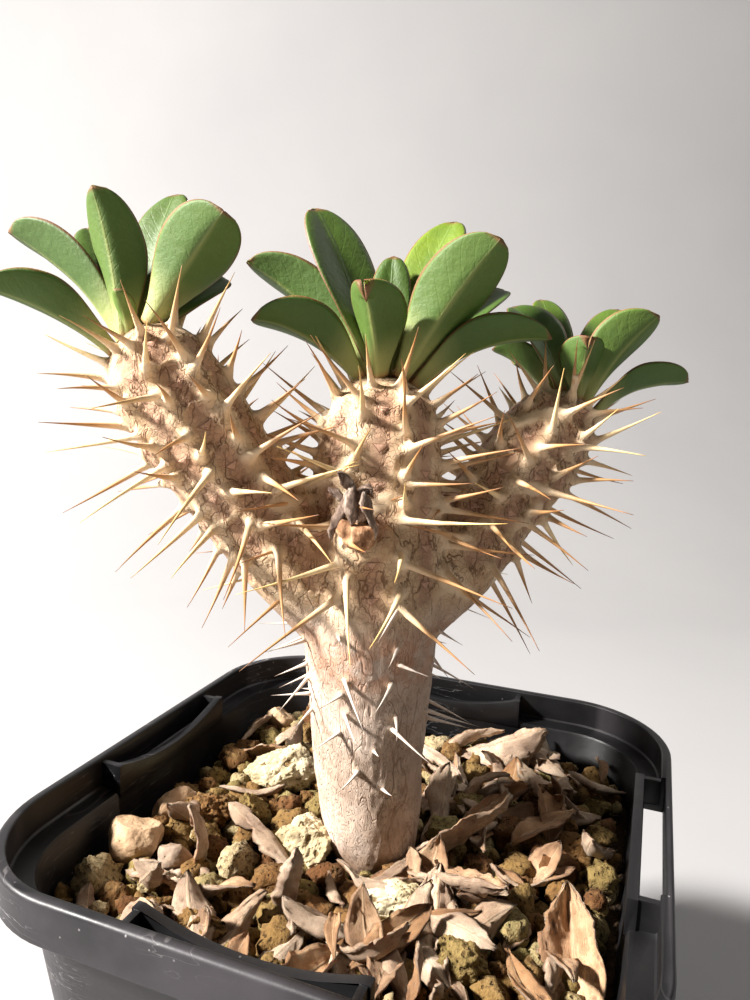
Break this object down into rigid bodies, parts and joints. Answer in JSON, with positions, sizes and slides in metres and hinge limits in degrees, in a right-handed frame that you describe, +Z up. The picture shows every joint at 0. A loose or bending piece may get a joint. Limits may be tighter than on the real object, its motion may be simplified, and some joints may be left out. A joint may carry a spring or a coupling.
{
  "type": "potted euphorbia",
  "caption": "Spiny succulent with a thick forked trunk and green leaf rosettes on its heads, growing in gravel soil with fallen dry leaves in a small square black plastic pot.",
  "frame": {"origin": "centre of the pot's flat underside", "axes": "+Z up along the plant; the pot's sides face X and Y, and the label slot is on the +X side"},
  "size_m": [0.1, 0.09, 0.1703],
  "materials": {
    "black_plastic": "semi-gloss moulded black plastic with fine scratches",
    "soil": "damp mixed clay and pumice gravel",
    "bark": "cracked cream and tan bark with horn-like spines",
    "dried_flower": "shrivelled dry plant matter",
    "leaf_green": "waxy succulent leaf with a thin red edge",
    "pumice": "rough porous pumice",
    "pebble": "smooth dusty pebble",
    "clay_gravel": "crumbly baked clay gravel",
    "dry_leaf": "papery curled dry leaf"
  },
  "bodies": {
    "root": {"pot": "black_plastic", "soil_bed": "soil", "stem": "bark", "dried_flower_stub": "dried_flower", "leaf_left_01": "leaf_green", "leaf_left_02": "leaf_green", "leaf_left_03": "leaf_green", "leaf_left_04": "leaf_green", "leaf_left_05": "leaf_green", "leaf_left_06": "leaf_green", "leaf_left_07": "leaf_green", "leaf_left_08": "leaf_green", "leaf_left_09": "leaf_green", "leaf_left_10": "leaf_green", "leaf_centre_01": "leaf_green", "leaf_centre_02": "leaf_green", "leaf_centre_03": "leaf_green", "leaf_centre_04": "leaf_green", "leaf_centre_05": "leaf_green", "leaf_centre_06": "leaf_green", "leaf_centre_07": "leaf_green", "leaf_centre_08": "leaf_green", "leaf_centre_09": "leaf_green", "leaf_centre_10": "leaf_green", "leaf_centre_11": "leaf_green", "leaf_right_01": "leaf_green", "leaf_right_02": "leaf_green", "leaf_right_03": "leaf_green", "leaf_right_04": "leaf_green", "leaf_right_05": "leaf_green", "leaf_right_06": "leaf_green", "leaf_right_07": "leaf_green", "leaf_right_08": "leaf_green", "leaf_right_09": "leaf_green", "pumice_large": "pumice", "pumice_front": "pumice", "stone_tan_left": "pebble", "stone_long_left": "pebble", "stone_grey_left": "pebble", "gravel_brown_left": "clay_gravel", "gravel_olive_left": "clay_gravel", "stone_tan_back": "pebble", "gravel_brown_front": "clay_gravel", "pumice_centre": "pumice", "gravel_olive_right": "clay_gravel", "gravel_brown_right": "clay_gravel", "dry_leaf_curled": "dry_leaf", "dry_leaf_fan": "dry_leaf", "dry_leaf_twisted": "dry_leaf", "dry_leaf_arched": "dry_leaf", "dry_leaf_boat": "dry_leaf", "dry_leaf_centre": "dry_leaf", "dry_leaf_front": "dry_leaf", "dry_leaf_stick": "dry_leaf", "dry_leaf_broad": "dry_leaf", "dry_leaf_long": "dry_leaf", "dry_leaf_side": "dry_leaf", "dry_leaf_corner": "dry_leaf", "dry_leaf_root_curl": "dry_leaf"}
  },
  "joints": []
}
